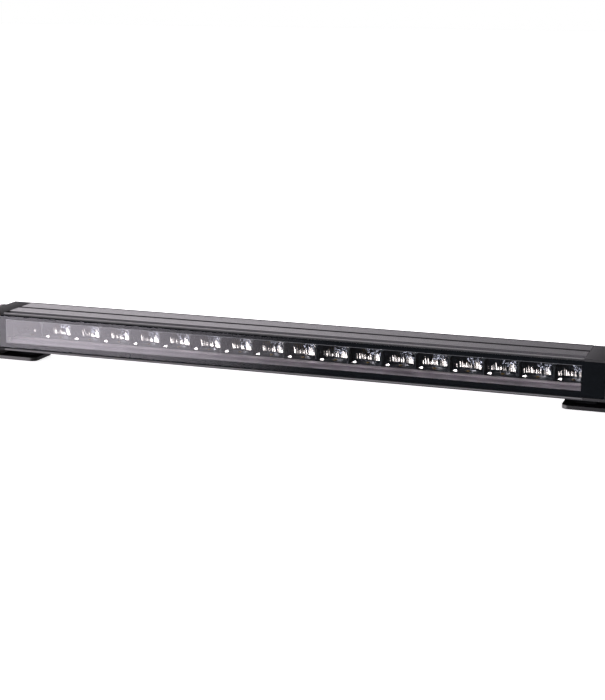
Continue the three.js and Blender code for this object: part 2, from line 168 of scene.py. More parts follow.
def along_u(name, outline, u0, u1, material=None):
    """An outline in (x, z) extruded from front to back."""
    return loft(name, [[at(x, u, z) for x, z in outline] for u in (u0, u1)], material)


def along_z(name, outline, z0, z1):
    """An outline in (x, u) extruded upward."""
    return loft(name, [[at(x, u, z) for x, u in outline] for z in (z0, z1)])


def block(name, low, high):
    """A box between two corners (x, u, z)."""
    (x0, u0, z0), (x1, u1, z1) = low, high
    return along_x(name, [(u0, z0), (u1, z0), (u1, z1), (u0, z1)], x0, x1)


def turned(name, profile, segments, place, material=None):
    """A solid turned about an axis. The profile is (radius, height) from foot to top, and place(a, b, h) puts
    a point at (a, b) across the axis and h along it."""
    sections = []
    for radius, height in profile:
        sections.append([place(a, b, height) for a, b in ring(max(radius, 0.001), segments)])
    return loft(name, sections, material, 35)


def across_x(x, u, z, side):
    """For turned(): an axis through (u, z) that points outward at that end of the bar."""
    return lambda a, b, h: at(x + side * h, u + a, z + b)


def backward(x, z):
    """For turned(): an axis through (x, z), with its heights as u."""
    return lambda a, b, h: at(x + a, h, z + b)


def upward(x, u):
    """For turned(): an axis through (x, u), with its heights as z."""
    return lambda a, b, h: at(x + a, u + b, h)


def notches(count, turn, reach, radius, x, u0, u1):
    """Round cutters spaced evenly about the line that runs back through x at the pivot's height."""
    return [along_u("cut", ring(radius, 12, a, b), u0, u1) for a, b in ring(reach, count, x, PIVOT_Z, turn)]


def combine(obj, others, operation="DIFFERENCE"):
    """Cuts obj by the others, or keeps only what it shares with them, and uses them up."""
    for other in others:
        modifier = obj.modifiers.new("cut", "BOOLEAN")
        modifier.object = other
        modifier.operation = operation
        modifier.solver = "EXACT"
        bpy.context.view_layer.update()
        depsgraph = bpy.context.evaluated_depsgraph_get()
        made = bpy.data.meshes.new_from_object(obj.evaluated_get(depsgraph))
        obj.modifiers.clear()
        old = obj.data
        made.name = old.name
        obj.data = made
        bpy.data.meshes.remove(old)
        bpy.data.objects.remove(other)
    shade(obj, 40)
    return obj


def soften(obj, width, segments, angle):
    """Rounds the edges sharper than that angle by that many millimetres."""
    bevel = obj.modifiers.new("rounded edges", "BEVEL")
    bevel.width = width * MM
    bevel.segments = segments
    bevel.limit_method = "ANGLE"
    bevel.angle_limit = math.radians(angle)
    bevel.harden_normals = True
    return obj


def joined(name, objects, material):
    """One object from the meshes of several, which are used up."""
    bm = bmesh.new()
    for obj in objects:
        bm.from_mesh(obj.data)
        mesh = obj.data
        bpy.data.objects.remove(obj)
        bpy.data.meshes.remove(mesh)
    mesh = bpy.data.meshes.new(name)
    bm.to_mesh(mesh)
    bm.free()
    obj = bpy.data.objects.new(name, mesh)
    bpy.context.scene.collection.objects.link(obj)
    shade(obj, 35)
    mesh.materials.append(material)
    return obj


def mount(obj, body, slot, *nodes):
    """obj rides on the body and stands for those CAD nodes. The slot is not used."""
    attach(obj, body)
    if nodes:
        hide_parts(*nodes)
    return obj


# ---- Materials ----


class Nodes:
    """A material's node tree, with short names for the nodes used here."""

    def __init__(self, name):
        self.material = bpy.data.materials.new(name)
        self.material.use_nodes = True
        self.tree = self.material.node_tree
        self.shader = self.tree.nodes["Principled BSDF"]
        self.coordinates = self.tree.nodes.new("ShaderNodeTexCoord")

    def link(self, output, target):
        self.tree.links.new(output, target)

    def mapped(self, scale):
        """The piece's own coordinates, scaled along each axis."""
        node = self.tree.nodes.new("ShaderNodeMapping")
        node.inputs["Scale"].default_value = scale
        self.link(self.coordinates.outputs["Object"], node.inputs["Vector"])
        return node.outputs["Vector"]

    def noise(self, scale, detail=3, stretch=(1, 1, 1)):
        node = self.tree.nodes.new("ShaderNodeTexNoise")
        node.inputs["Scale"].default_value = scale
        node.inputs["Detail"].default_value = detail
        self.link(self.mapped(stretch), node.inputs["Vector"])
        return node.outputs["Fac"]

    def ramp(self, value, *stops):
        """A colour ramp between two stops, each (place, colour)."""
        node = self.tree.nodes.new("ShaderNodeValToRGB")
        for element, (place, colour) in zip(node.color_ramp.elements, stops):
            element.position = place
            element.color = (*colour, 1)
        self.link(value, node.inputs["Fac"])
        return node.outputs["Color"]

    def between(self, value, low, high):
        """The value from 0 to 1 spread from low to high."""
        node = self.tree.nodes.new("ShaderNodeMapRange")
        node.inputs["To Min"].default_value = low
        node.inputs["To Max"].default_value = high
        self.link(value, node.inputs["Value"])
        return node.outputs["Result"]

    def bump(self, height, strength, distance):
        node = self.tree.nodes.new("ShaderNodeBump")
        node.inputs["Strength"].default_value = strength
        node.inputs["Distance"].default_value = distance
        self.link(height, node.inputs["Height"])
        self.link(node.outputs["Normal"], self.shader.inputs["Normal"])


def finish_of(name, dark, light, roughness, metallic=0.0, specular=0.5, grain=900, stretch=(1, 1, 1),
              bump=0.15, bump_depth=0.00005, spread=0.06, painted_glow=0.0):
    """A material with two close shades mottled together, uneven gloss and a fine grain."""
    nodes = Nodes(name)
    shader = nodes.shader
    shader.inputs["Metallic"].default_value = metallic
    shader.inputs["Specular IOR Level"].default_value = specular
    shader.inputs["Emission Color"].default_value = (1, 0.94, 0.98, 1)
    # A surface given this shows a faint painted light of its own, though it is no lamp.
    shader.inputs["Emission Strength"].default_value = painted_glow
    fine = nodes.noise(grain, 4, stretch)
    broad = nodes.noise(60, 2, stretch)
    nodes.link(nodes.ramp(fine, (0.3, dark), (0.7, light)), shader.inputs["Base Color"])
    gloss = nodes.between(broad, max(0.02, roughness - spread), roughness + spread)
    nodes.link(gloss, shader.inputs["Roughness"])
    nodes.bump(fine, bump, bump_depth)
    return nodes.material


def clear_finish(name, tint, gloss, ior):
    """A clear sheet: light goes straight through, and a slant mirrors more of it, from either side."""
    nodes = Nodes(name)
    tree = nodes.tree
    through = tree.nodes.new("ShaderNodeBsdfTransparent")
    through.inputs["Color"].default_value = (*tint, 1)
    mirror = tree.nodes.new("ShaderNodeBsdfGlossy")
    mirror.inputs["Color"].default_value = (0.96, 0.95, 1.0, 1)
    haze = nodes.between(nodes.noise(140, 2), gloss * 0.8, gloss * 1.2)
    nodes.link(haze, mirror.inputs["Roughness"])
    slant = tree.nodes.new("ShaderNodeFresnel")
    side = tree.nodes.new("ShaderNodeNewGeometry")
    nodes.link(nodes.between(side.outputs["Backfacing"], ior, 1 / ior), slant.inputs["IOR"])
    mix = tree.nodes.new("ShaderNodeMixShader")
    nodes.link(slant.outputs["Fac"], mix.inputs["Fac"])
    nodes.link(through.outputs["BSDF"], mix.inputs[1])
    nodes.link(mirror.outputs["BSDF"], mix.inputs[2])
    nodes.link(mix.outputs["Shader"], tree.nodes["Material Output"].inputs["Surface"])
    return nodes.material


MATERIALS = {
    "extrusion": finish_of("black anodised extrusion", (0.02, 0.02, 0.022), (0.034, 0.034, 0.037), 0.3,
                           specular=0.6, grain=2600, stretch=(0.15, 1, 1), bump=0.12),
    # A lighter, matte copy of the anodising for the groove at the front of the top: painted light.
    "groove": finish_of("groove at the front, painted lighter", (0.066, 0.065, 0.069), (0.086, 0.084, 0.09), 0.7, specular=0.1,
                        bump=0.1),
    # A darker copy of the anodising for the rear groove and the step under the upper lip: painted shade.
    "painted_shade": finish_of("painted shade in the rear groove and under the lip", (0.014, 0.014, 0.015), (0.022, 0.022, 0.024), 0.7,
                             specular=0.1, bump=0.1),
    # A dark, glossless copy of the anodising along the rear edge of the top: a painted shadow line.
    "painted_shadow_line": finish_of("painted shadow along the rear edge", (0.01, 0.01, 0.011), (0.016, 0.016, 0.017), 0.9,
                           specular=0.0, bump=0.1),
    # A brighter copy of the anodising on the chamfers of both lips: a painted highlight.
    "edge": finish_of("painted highlight on the lip edges", (0.028, 0.028, 0.03), (0.042, 0.042, 0.045), 0.3, specular=0.6,
                      bump=0.1),
    # A pale strip along the top of the window: a painted highlight.
    "painted_highlight": finish_of("painted highlight along the window's top", (0.05, 0.054, 0.06), (0.08, 0.086, 0.095), 0.4, bump=0.02),
    "cap": finish_of("textured cap paint", (0.013, 0.013, 0.014), (0.024, 0.024, 0.025), 0.72, specular=0.14,
                     grain=1900, bump=0.55, bump_depth=0.00012),
    "bracket": finish_of("bracket powder coat", (0.008, 0.008, 0.009), (0.014, 0.014, 0.015), 0.3,
                         grain=1500, bump=0.3, bump_depth=0.00006),
    # A darker copy of the powder coat without gloss, for the foot's top and its slot: painted shade under the
    # bar.
    "painted_shade_on_foot": finish_of("painted shade on the foot", (0.005, 0.005, 0.006), (0.01, 0.01, 0.011), 0.85,
                             specular=0.0, grain=1500, bump=0.4, bump_depth=0.00008),
    "ink": finish_of("black border ink", (0.0025, 0.0032, 0.004), (0.004, 0.005, 0.006), 0.6, specular=0.0,
                     bump=0.02),
    "rubber": finish_of("black rubber", (0.012, 0.012, 0.012), (0.02, 0.02, 0.02), 0.7, grain=1400, bump=0.2),
    "bezel": finish_of("black bezel moulding", (0.012, 0.016, 0.018), (0.02, 0.027, 0.03), 0.35, specular=0.3,
                       grain=1200, bump=0.05),
    "mirror": finish_of("vacuum metallised cup", (0.62, 0.64, 0.68), (0.74, 0.76, 0.8), 0.06, metallic=1.0,
                        grain=500, bump=0.02, spread=0.03),
    # The facets in the cups take the metallised coat again in other tones, which set how bright their
    # reflections show: painted highlights and painted reflections.
    "painted_glint": finish_of("metallised facet toned for a painted highlight", (0.2, 0.195, 0.185), (0.5, 0.49, 0.47), 0.08, metallic=1.0,
                       grain=700, bump=0.02, spread=0.03),
    "flute": finish_of("metallised flute mottled for a painted reflection", (0.018, 0.019, 0.018), (0.5, 0.485, 0.45), 0.08, metallic=1.0,
                       grain=1300, bump=0.02, spread=0.03),
    "net": finish_of("shaded metallised stroke", (0.012, 0.014, 0.017), (0.17, 0.185, 0.21), 0.08,
                     metallic=1.0, grain=1500, bump=0.02, spread=0.03),
    # The light guide in three tones of one finish: the lighter one with faint painted light of its own, the
    # other two painted shade.
    "strip": finish_of("light guide in its lighter tone, with faint painted light", (0.28, 0.255, 0.27), (0.84, 0.77, 0.8), 0.3, grain=110,
                       stretch=(0.5, 1, 1), bump=0.08, painted_glow=0.01),
    "strip_front": finish_of("painted shade on the foot of the light guide", (0.13, 0.12, 0.13), (0.3, 0.275, 0.3), 0.35,
                             grain=110, stretch=(0.5, 1, 1), bump=0.08),
    "valley": finish_of("painted shade in the valley of the light guide", (0.16, 0.14, 0.16), (0.24, 0.21, 0.24), 0.4,
                        grain=300, stretch=(0.3, 1, 1), bump=0.08),
    "white_board": finish_of("white solder mask", (0.74, 0.74, 0.71), (0.84, 0.84, 0.82), 0.45, bump=0.1),
    "green_board": finish_of("green solder mask", (0.02, 0.1, 0.04), (0.04, 0.16, 0.07), 0.4, bump=0.15),
    "dome": finish_of("emitter dome", (0.12, 0.08, 0.025), (0.2, 0.14, 0.05), 0.2, grain=600, bump=0.02),
    "stainless": finish_of("brushed stainless", (0.5, 0.5, 0.51), (0.66, 0.66, 0.67), 0.28, metallic=1.0,
                           grain=1400, stretch=(1, 0.2, 1), bump=0.15),
    "black_steel": finish_of("black oxide steel", (0.02, 0.02, 0.022), (0.04, 0.04, 0.043), 0.4, metallic=0.6,
                             bump=0.15),
    "plastic": finish_of("black moulded plastic", (0.012, 0.012, 0.013), (0.022, 0.022, 0.023), 0.45,
                         grain=1100, bump=0.25),
    "nylon": finish_of("grey nylon", (0.03, 0.03, 0.032), (0.05, 0.05, 0.052), 0.6, grain=1300, bump=0.25),
    "brass": finish_of("plated brass", (0.55, 0.4, 0.16), (0.68, 0.52, 0.24), 0.25, metallic=1.0, bump=0.1),
    "red": finish_of("red insulation", (0.35, 0.015, 0.012), (0.45, 0.03, 0.025), 0.45, bump=0.1),
    "lens": clear_finish("clear lens", (0.985, 0.99, 0.99), 0.05, 1.5),
    "window": clear_finish("hard-coated window", (0.985, 0.99, 0.99), 0.05, 1.8),
    "lens_back": clear_finish("anti-glare back of the lens", (1, 1, 1), 0.05, 1.05),
}


def repaint(node, material, width=0):
    """Gives a CAD node that stays a finer material and, if asked, rounded edges."""
    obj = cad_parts[node]
    obj.data.materials.clear()
    obj.data.materials.append(MATERIALS[material])
    for polygon in obj.data.polygons:
        polygon.material_index = 0
    shade(obj, 30)
    if width:
        soften(obj, width, 2, 45)


# ---- The extrusion ----

LIP = 2.1
LOWER_LIP_TOP = LIP - 0.3
LIP_CHAMFER = 0.45
LIP_STEP = {"u": 0.35, "drop": 1.1}
FOOT_CHAMFER = 0.3
REBATE = 4.5
WALL = {"back": 36, "low": 5.8, "high": 27.4}
REAR_CHAMBER = [(39, 5.5), (46, 5.5), (46, 27.3), (39, 27.3)]
BACK_RADIUS = 1
REAR_EDGE = {"radius": 0.5, "u": 48.2}
UNDER_GROOVES = ((8, 11), (27, 30))
UNDER_GROOVE_DEPTH = 0.9
FINS = {"count": 4, "first": 6, "pitch": 5.7, "width": 3.2, "depth": 4}
TOP_BANDS = ((10.5, 27), (30.5, 47))
REAR_GROOVE = (26, 31)
FRONT_GROOVE = (5.2, 10.5)
TOP_GROOVE_DEPTH = 2.4
SHELF = {"u": 1.6, "depth": 1}
RIB_SLOTS = {"count": 4, "half_width": 0.4, "depth": 0.45}
CORNER_RADIUS = 0.16
SCREW_SPOTS = ((20, 29.5), (20, 3.2), (40.5, 29.5), (40.5, 3.2))
SCREW_CHANNEL_RADIUS = 1.55
# Each machined pad at the back: its middle and half width, and the radius and sides of the hole in it.
PADS = ((0, 13, 6.3, 40), (VENT_X, 8, 2.9, 24))
PAD = {"u": 48, "low": 5.3, "high": 27.1}
# All but the first are copies of the anodising painted for light and shade: lighter in the groove at the
# front, painted shade in the rear groove and under the lip, a painted highlight on the lip edges and a
# painted shadow line along the rear edge.
HOUSING_FINISHES = ("extrusion", "groove", "painted_shade", "edge", "painted_shadow_line")


def top_slots():
    """Every slot in the top as (front, back, depth), from the back forward."""
    slots = [(*REAR_GROOVE, TOP_GROOVE_DEPTH), (*FRONT_GROOVE, TOP_GROOVE_DEPTH)]
    half = RIB_SLOTS["half_width"]
    for front, back in TOP_BANDS:
        pitch = (back - front) / (RIB_SLOTS["count"] + 1)
        for i in range(RIB_SLOTS["count"]):
            middle = back - pitch * (i + 1)
            slots.append((middle - half, middle + half, RIB_SLOTS["depth"]))
    return sorted(slots, reverse=True)


def extrusion_outline():
    """The housing's outline in (u, z): the underside, up the back, forward along the top, down the front."""
    outline = [(FOOT_CHAMFER, 0)]
    for front, back in UNDER_GROOVES:
        outline += [(front, 0), (front, UNDER_GROOVE_DEPTH), (back, UNDER_GROOVE_DEPTH), (back, 0)]
    outline += arc(DEPTH - BACK_RADIUS, BACK_RADIUS, BACK_RADIUS, -90, 0, 8)
    for i in range(FINS["count"]):
        low = FINS["first"] + i * FINS["pitch"]
        root = DEPTH - FINS["depth"]
        outline += [(DEPTH, low), (root, low), (root, low + FINS["width"]), (DEPTH, low + FINS["width"])]
    radius = REAR_EDGE["radius"]
    outline += arc(DEPTH - radius, HEIGHT - radius, radius, 0, 90, 8)
    outline.append((REAR_EDGE["u"], HEIGHT))
    for front, back, depth in top_slots():
        outline += [(back, HEIGHT), (back, HEIGHT - depth), (front, HEIGHT - depth)]
        if back == FRONT_GROOVE[1]:
            shelf = HEIGHT - SHELF["depth"]
            outline += [(front, shelf), (SHELF["u"], shelf), (SHELF["u"], HEIGHT)]
        else:
            outline.append((front, HEIGHT))
    step_u, step_z = LIP_STEP["u"], HEIGHT - LIP_STEP["drop"]
    outline += [(LIP_CHAMFER, HEIGHT), (0, HEIGHT - LIP_CHAMFER), (0, step_z), (step_u, step_z)]
    outline += [(step_u, HEIGHT - LIP), (REBATE, HEIGHT - LIP)]
    outline += [(REBATE, WALL["high"]), (WALL["back"], WALL["high"]), (WALL["back"], WALL["low"])]
    outline += [(REBATE, WALL["low"]), (REBATE, LOWER_LIP_TOP), (0.6, LOWER_LIP_TOP), (0, LIP - 0.9)]
    outline.append((0, FOOT_CHAMFER))
    return rounded(outline, CORNER_RADIUS)


def housing_finish(u, z):
    """The finish of the housing's surface at that spot of its outline."""
    near = 0.05
    in_groove = HEIGHT - TOP_GROOVE_DEPTH - 0.1 < z < HEIGHT - 0.1
    # The groove at the front takes the lighter copy: painted light.
    if in_groove and SHELF["u"] - near < u < FRONT_GROOVE[1] + near:
        return "groove"
    # The rear groove takes painted shade.
    if in_groove and REAR_GROOVE[0] - near < u < REAR_GROOVE[1] + near:
        return "painted_shade"
    # The rear edge of the top takes a painted shadow line.
    if u > REAR_EDGE["u"] - 0.1 and z > HEIGHT - 1.5:
        return "painted_shadow_line"
    # The lip edges take a painted highlight.
    if u < 0.55 and (LIP - 1.05 < z < LIP or z > HEIGHT - 0.5):
        return "edge"
    # The step under the upper lip takes painted shade.
    if u < LIP_STEP["u"] + near and HEIGHT - LIP < z < HEIGHT - LIP_STEP["drop"] + near:
        return "painted_shade"
    return "extrusion"


def make_extrusion():
    material = MATERIALS["extrusion"]
    body = along_x("extrusion", extrusion_outline(), -HALF_EXTRUSION, HALF_EXTRUSION, material)
    end = HALF_EXTRUSION + 1
    cutters = [along_x("cut", REAR_CHAMBER, -end, end)]
    cutters += [along_x("cut", ring(SCREW_CHANNEL_RADIUS, 16, u, z), -end, end) for u, z in SCREW_SPOTS]
    for x, half, _, _ in PADS:
        cutters.append(block("cut", (x - half, PAD["u"], PAD["low"]), (x + half, DEPTH + 1, PAD["high"])))
    for x, _, radius, sides in PADS:
        cutters.append(along_u("cut", ring(radius, sides, x, PIVOT_Z), PAD["u"] - 3, PAD["u"] + 1))
    combine(body, cutters)
    for finish in HOUSING_FINISHES[1:]:
        body.data.materials.append(MATERIALS[finish])
    for polygon in body.data.polygons:
        u = (polygon.center.y - FRONT_Y) / MM
        z = (polygon.center.z - UNDERSIDE_Z) / MM
        polygon.material_index = HOUSING_FINISHES.index(housing_finish(u, z))
    mount(body, "bar", "anodised_extrusion", "housing")


make_extrusion()

# ---- End caps, gaskets and their screws ----


def cap_outline(inset):
    """A cap's outline in (u, z), drawn in by that much, with its back corners rounder than its front ones."""
    front, back, low, high = inset, DEPTH - inset, inset, HEIGHT - inset
    radius, small = BACK_RADIUS - inset, 0.4
    outline = arc(back - radius, low + radius, radius, -90, 0, 8)
    outline += arc(back - radius, high - radius, radius, 0, 90, 8)
    outline += arc(front + small, high - small, small, 90, 180, 3)
    outline += arc(front + small, low + small, small, 180, 270, 3)
    return outline


def make_cap(side, sign):
    edge, outer_wall, pocket_depth = 1.0, 1.2, 4.2
    steps = [(CAP_INNER, 0.12), (CAP_INNER + 0.15, 0)]
    for i in range(5):
        angle = math.radians(90 * i / 4)
        steps.append((CAP_OUTER - edge + edge * math.sin(angle), edge * (1 - math.cos(angle))))
    sections = [[at(sign * x, u, z) for u, z in cap_outline(inset)] for x, inset in steps]
    cap = loft(f"cap_{side}", sections, MATERIALS["cap"])

    def cut(x0, x1, low, high):
        xs = sorted((sign * x0, sign * x1))
        return block("cut", (xs[0], *low), (xs[1], *high))

    start, pocket = CAP_INNER - 1, CAP_INNER + pocket_depth
    cutters = [cut(start, CAP_OUTER - outer_wall, (-1, LIP), (REBATE, HEIGHT - LIP))]
    cutters.append(cut(start, pocket, (REBATE - 0.5, WALL["low"]), (WALL["back"], WALL["high"])))
    bolt = [(4.3, -12), (4.3, 0.1), (4.3, 1)]
    cutters.append(turned("cut", bolt, 40, across_x(sign * CAP_OUTER, PIVOT_U, PIVOT_Z, sign)))
    sink = [(1.5, -20), (1.5, -1.4), (2.55, 0.05), (2.55, 1)]
    for u, z in SCREW_SPOTS:
        cutters.append(turned("cut", sink, 24, across_x(sign * CAP_OUTER, u, z, sign)))
    combine(cap, cutters)
    mount(cap, "bar", "cap_paint", f"end_cap_{side}")


def make_cap_screws(side, sign):
    screws = []
    profile = [(1.2, -27), (1.2, -1.2), (2.22, -0.15), (2.3, -0.05), (2.22, 0), (1.5, 0.02)]
    for u, z in SCREW_SPOTS:
        place = across_x(sign * (CAP_OUTER - 0.1), u, z, sign)
        screw = turned("screw", profile, 28, place)
        socket = turned("cut", [(1.1, -1), (1.1, 0.6)], 6, place)
        screws.append(combine(screw, [socket]))
    row = joined(f"cap_screws_{side}", screws, MATERIALS["stainless"])
    mount(row, "bar", "stainless", *[f"cap_screw_{side}_{i + 1}" for i in range(len(SCREW_SPOTS))])


for side, sign in SIDES.items():
    make_cap(side, sign)
    make_cap_screws(side, sign)
    repaint(f"cap_gasket_{side}", "rubber")

# ---- Lens and its printed border ----

WINDOW_HALF = 243.6
WINDOW_LOW = 6.65
WINDOW_HIGH = 26.8
LENS_CHAMFER = 0.45
INK_DEPTH = 0.5


def rectangle(half, low, high):
    """An outline in (x, z), as wide to either side of the middle."""
    return [(-half, low), (half, low), (half, high), (-half, high)]


def make_lens():
    """The lens, its front split round the window, with the black border printed just behind its front."""
    low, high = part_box("front_lens")
    half, edge = high.x / MM, LENS_CHAMFER
    front, back = (low.y - FRONT_Y) / MM, (high.y - FRONT_Y) / MM
    bottom, top = (low.z - UNDERSIDE_Z) / MM, (high.z - UNDERSIDE_Z) / MM
    outer = rectangle(half, bottom, top)
    inset = rectangle(half - edge, bottom + edge, top - edge)
    opening = rectangle(WINDOW_HALF, WINDOW_LOW, WINDOW_HIGH)
    verts = []
    for outline, u in ((inset, front), (outer, front + edge), (outer, back), (opening, front),
                       (outer, front + INK_DEPTH), (opening, front + INK_DEPTH)):
        verts += [at(x, u, z) for x, z in outline]
    face, rim, rear, window, ink_outer, ink_inner = range(0, 24, 4)
    faces = [tuple(range(window, window + 4)), tuple(range(rear, rear + 4))]
    finishes = [1, 2]
    for i in range(4):
        j = (i + 1) % 4
        for a, b, finish in ((face, window, 0), (face, rim, 2), (rim, rear, 2), (ink_outer, ink_inner, 3)):
            faces.append((a + i, a + j, b + j, b + i))
            finishes.append(finish)
    lens = piece("lens", verts, faces, MATERIALS["lens"], 20)
    for finish in ("window", "lens_back", "ink"):
        lens.data.materials.append(MATERIALS[finish])
    lens.data.polygons.foreach_set("material_index", finishes)
    mount(lens, "bar", "clear_lens", "front_lens")


def make_painted_highlight():
    """The thin pale line along the top of the window, a painted highlight where the black border ends."""
    front, back, height = 1, 1.2, 0.35
    painted_highlight = block("window_painted_highlight", (-WINDOW_HALF, front, WINDOW_HIGH - height), (WINDOW_HALF, back, WINDOW_HIGH))
    painted_highlight.data.materials.append(MATERIALS["painted_highlight"])
    mount(painted_highlight, "bar", "black_rubber")


make_lens()
make_painted_highlight()
repaint("lens_seal", "ink")

# ---- Reflectors and emitters ----

# A cup is half a paraboloid that opens forward from its vertex, cut off by a floor and two side walls.
CUP = {"front": 20, "vertex": 34.2, "axis_z": 8.4, "floor_z": 8.7, "mouth": 18, "half_width": 13.2}
CUP_CURVE = (CUP["vertex"] - CUP["front"]) / CUP["mouth"] ** 2
FOCUS_U = CUP["vertex"] - 1 / (4 * CUP_CURVE)
CUP_COLUMNS = 16
CUP_ROWS = 9
CUP_CUTTER_DEPTHS = (19, 20, 23, 26, 29, 31, 32.5, 33.6, 34.3)
# The last three are toned copies of the metallised coat on the facets: painted highlights and painted
# reflections.
CUP_FINISHES = ("mirror", "bezel", "painted_glint", "flute", "net")
BEZEL_LOW = 8
BEZEL_BACK = 35.7


def wall_u(dx, z):
    """How far back the paraboloid stands behind a spot of the cup's mouth."""
    return CUP["vertex"] - CUP_CURVE * (dx * dx + (z - CUP["axis_z"]) ** 2)


def cup_section(u, grow):
    """The cup's outline at that depth: an arch cut off by the floor and by the two side walls."""
    share = max(0.001, CUP["vertex"] + grow - u) / (CUP["vertex"] - CUP["front"])
    radius = CUP["mouth"] * math.sqrt(share) + grow
    side = CUP["half_width"] + grow
    steps = 32
    outline = []
    for i in range(steps + 1):
        angle = math.pi * i / steps
        z = max(CUP["floor_z"] - grow, CUP["axis_z"] + radius * math.sin(angle))
        outline.append((max(-side, min(side, radius * math.cos(angle))), z))
    return outline


def grid_faces(base, rows, columns):
    """The quads of a grid whose vertices start at base and run row by row."""
    faces = []
    for r in range(rows):
        for c in range(columns):
            corner = base + r * (columns + 1) + c
            faces.append((corner, corner + 1, corner + columns + 2, corner + columns + 1))
    return faces


def lining(verts, faces, centre_x):
    """The metallised curved wall of one cup, in upright columns that bulge more towards the left."""
    half, low = CUP["half_width"], CUP["floor_z"]
    steps = 4
    for column in range(CUP_COLUMNS):
        width = 2 * half / CUP_COLUMNS
        left = -half + column * width
        bulge = 0.3 if left < -1.5 else 0.05
        base = len(verts)
        for r in range(CUP_ROWS + 1):
            for k in range(steps + 1):
                dx = left + width * k / steps
                reach = math.sqrt(CUP["mouth"] ** 2 - dx * dx)
                z = low + (CUP["axis_z"] + reach - low) * r / CUP_ROWS
                round_front = 4 * bulge * (k / steps) * (1 - k / steps)
                verts.append(at(centre_x + dx, wall_u(dx, z) - round_front, z))
        faces += grid_faces(base, CUP_ROWS, steps)


def plain_faces(verts, faces, centre_x):
    """The black side walls and the black floor the emitter looks up through."""
    half, low, front = CUP["half_width"], CUP["floor_z"], CUP["front"]
    top = CUP["axis_z"] + math.sqrt(CUP["mouth"] ** 2 - half ** 2)
    for side in (-half, half):
        base = len(verts)
        for r in range(CUP_ROWS + 1):
            z = low + (top - low) * r / CUP_ROWS
            verts += [at(centre_x + side, front, z), at(centre_x + side, wall_u(side, z), z)]
        faces += grid_faces(base, CUP_ROWS, 1)
    base = len(verts)
    for dx in (-half, -half / 2, 0, half / 2, half):
        verts += [at(centre_x + dx, front, low), at(centre_x + dx, wall_u(dx, low), low)]
    faces += grid_faces(base, 4, 1)


def facet(verts, faces, outline, centre, azimuth, elevation):
    """Adds a small flat facet: its outline in millimetres across and up, facing that way from the front."""
    facing = direction(azimuth, elevation)
    across = facing.cross(Vector((0, 0, 1))).normalized() * -1
    up = facing.cross(across)
    base = len(verts)
    for a, b in outline:
        verts.append(at(*centre) + (across * a + up * b) * MM)
    faces.append(tuple(range(base, base + len(outline))))


# The flutes and strokes stand this far in front of the wall, and the facets face this many degrees upward.
FACET_LIFT = 0.6
FACET_TILT = 15
# Each bright flute's place across the cup, its foot, height, half width and azimuth.
FLUTES = (
    (-10.9, 11.4, 3.8, 0.25, 3.5), (-9.2, 11.2, 4.2, 0.25, 3.5), (-7.3, 11.2, 6.0, 0.4, -2),
    (-6.6, 11.0, 4.4, 0.25, -6.5), (-5.5, 11.0, 3.8, 0.25, -6.5), (-5.6, 11.0, 5.8, 0.5, 3.5),
    (-4.4, 10.8, 3.6, 0.35, 4), (-3.5, 10.8, 3.2, 0.3, -2), (-2.2, 10.8, 4.0, 0.35, 3.5),
    (-0.7, 10.6, 3.4, 0.35, -2), (-0.2, 10.5, 2.4, 0.6, -6.5), (1.1, 10.6, 4.6, 0.35, -1.5),
    (1.3, 10.5, 2.0, 0.6, 8.2), (4.4, 10.4, 5.4, 0.5, 8.2), (5.8, 10.4, 8.6, 0.55, 8.6),
    (7.2, 10.6, 6.4, 0.5, 9), (6.7, 10.8, 5.6, 0.5, 13), (8.3, 10.8, 4.4, 0.5, 13.5),
    (8.2, 12.2, 6.8, 0.3, 18.4), (9.4, 11.0, 4.6, 0.3, 17.5),
)
FLUTE_ROW = 0.9
NET = {"strokes": 70, "dx": (-1, 11), "z": (13.5, 22.8), "half_length": (0.4, 1.2), "half_width": 0.1,
       "azimuth": (5, 21)}


def flute_width(t, width):
    """The half width of a pointed flute at that share of its height."""
    return width * min(1, 1.6 * (1 - t)) + 0.05


def before_wall(centre_x, dx, z):
    """A spot a little in front of the cup's curved wall."""
    return (centre_x + dx, wall_u(dx, z) - FACET_LIFT, z)


def flute(verts, faces, centre_x, dx, foot, height, width, azimuth):
    """A pointed upright row of small facets that climbs the curved wall."""
    rows = max(2, round(height / FLUTE_ROW))
    half = height / rows / 2 * 1.04
    for i in range(rows):
        low, high = flute_width(i / rows, width), flute_width((i + 1) / rows, width)
        outline = [(-low, -half), (low, -half), (high, half), (-high, half)]
        spot = before_wall(centre_x, dx, foot + (i + 0.5) * height / rows)
        facet(verts, faces, outline, spot, azimuth, FACET_TILT)


def ramps(verts, faces, centre_x):
    """The bright ramp at the lower left of a cup and the small facet at its upper right corner, both toned
    for a painted highlight.
    """
    slab = [(-2.1, -0.4), (1.9, -0.4), (1.9, 0.7), (1.1, 1.2), (-0.9, 0.2)]
    facet(verts, faces, slab, (centre_x - 9.7, 22, 9.8), 13 + centre_x / 47, FACET_TILT)
    corner = [(-0.5, -0.25), (0.5, -0.25), (0.5, 0.3), (-0.3, 0.3)]
    facet(verts, faces, corner, (centre_x + 12.9, CUP["front"] - 0.1, 22.4), 14, FACET_TILT - 4)


def flutes(verts, faces, centre_x, rng):
    """The upright flutes with pointed tops, mottled for a painted reflection."""
    for dx, foot, height, width, azimuth in FLUTES:
        height *= rng.uniform(0.75, 1.15)
        width *= rng.uniform(0.8, 1.15)
        dx += rng.uniform(-0.3, 0.3)
        azimuth += rng.uniform(-1, 1)
        flute(verts, faces, centre_x, dx, foot, height, width, azimuth)


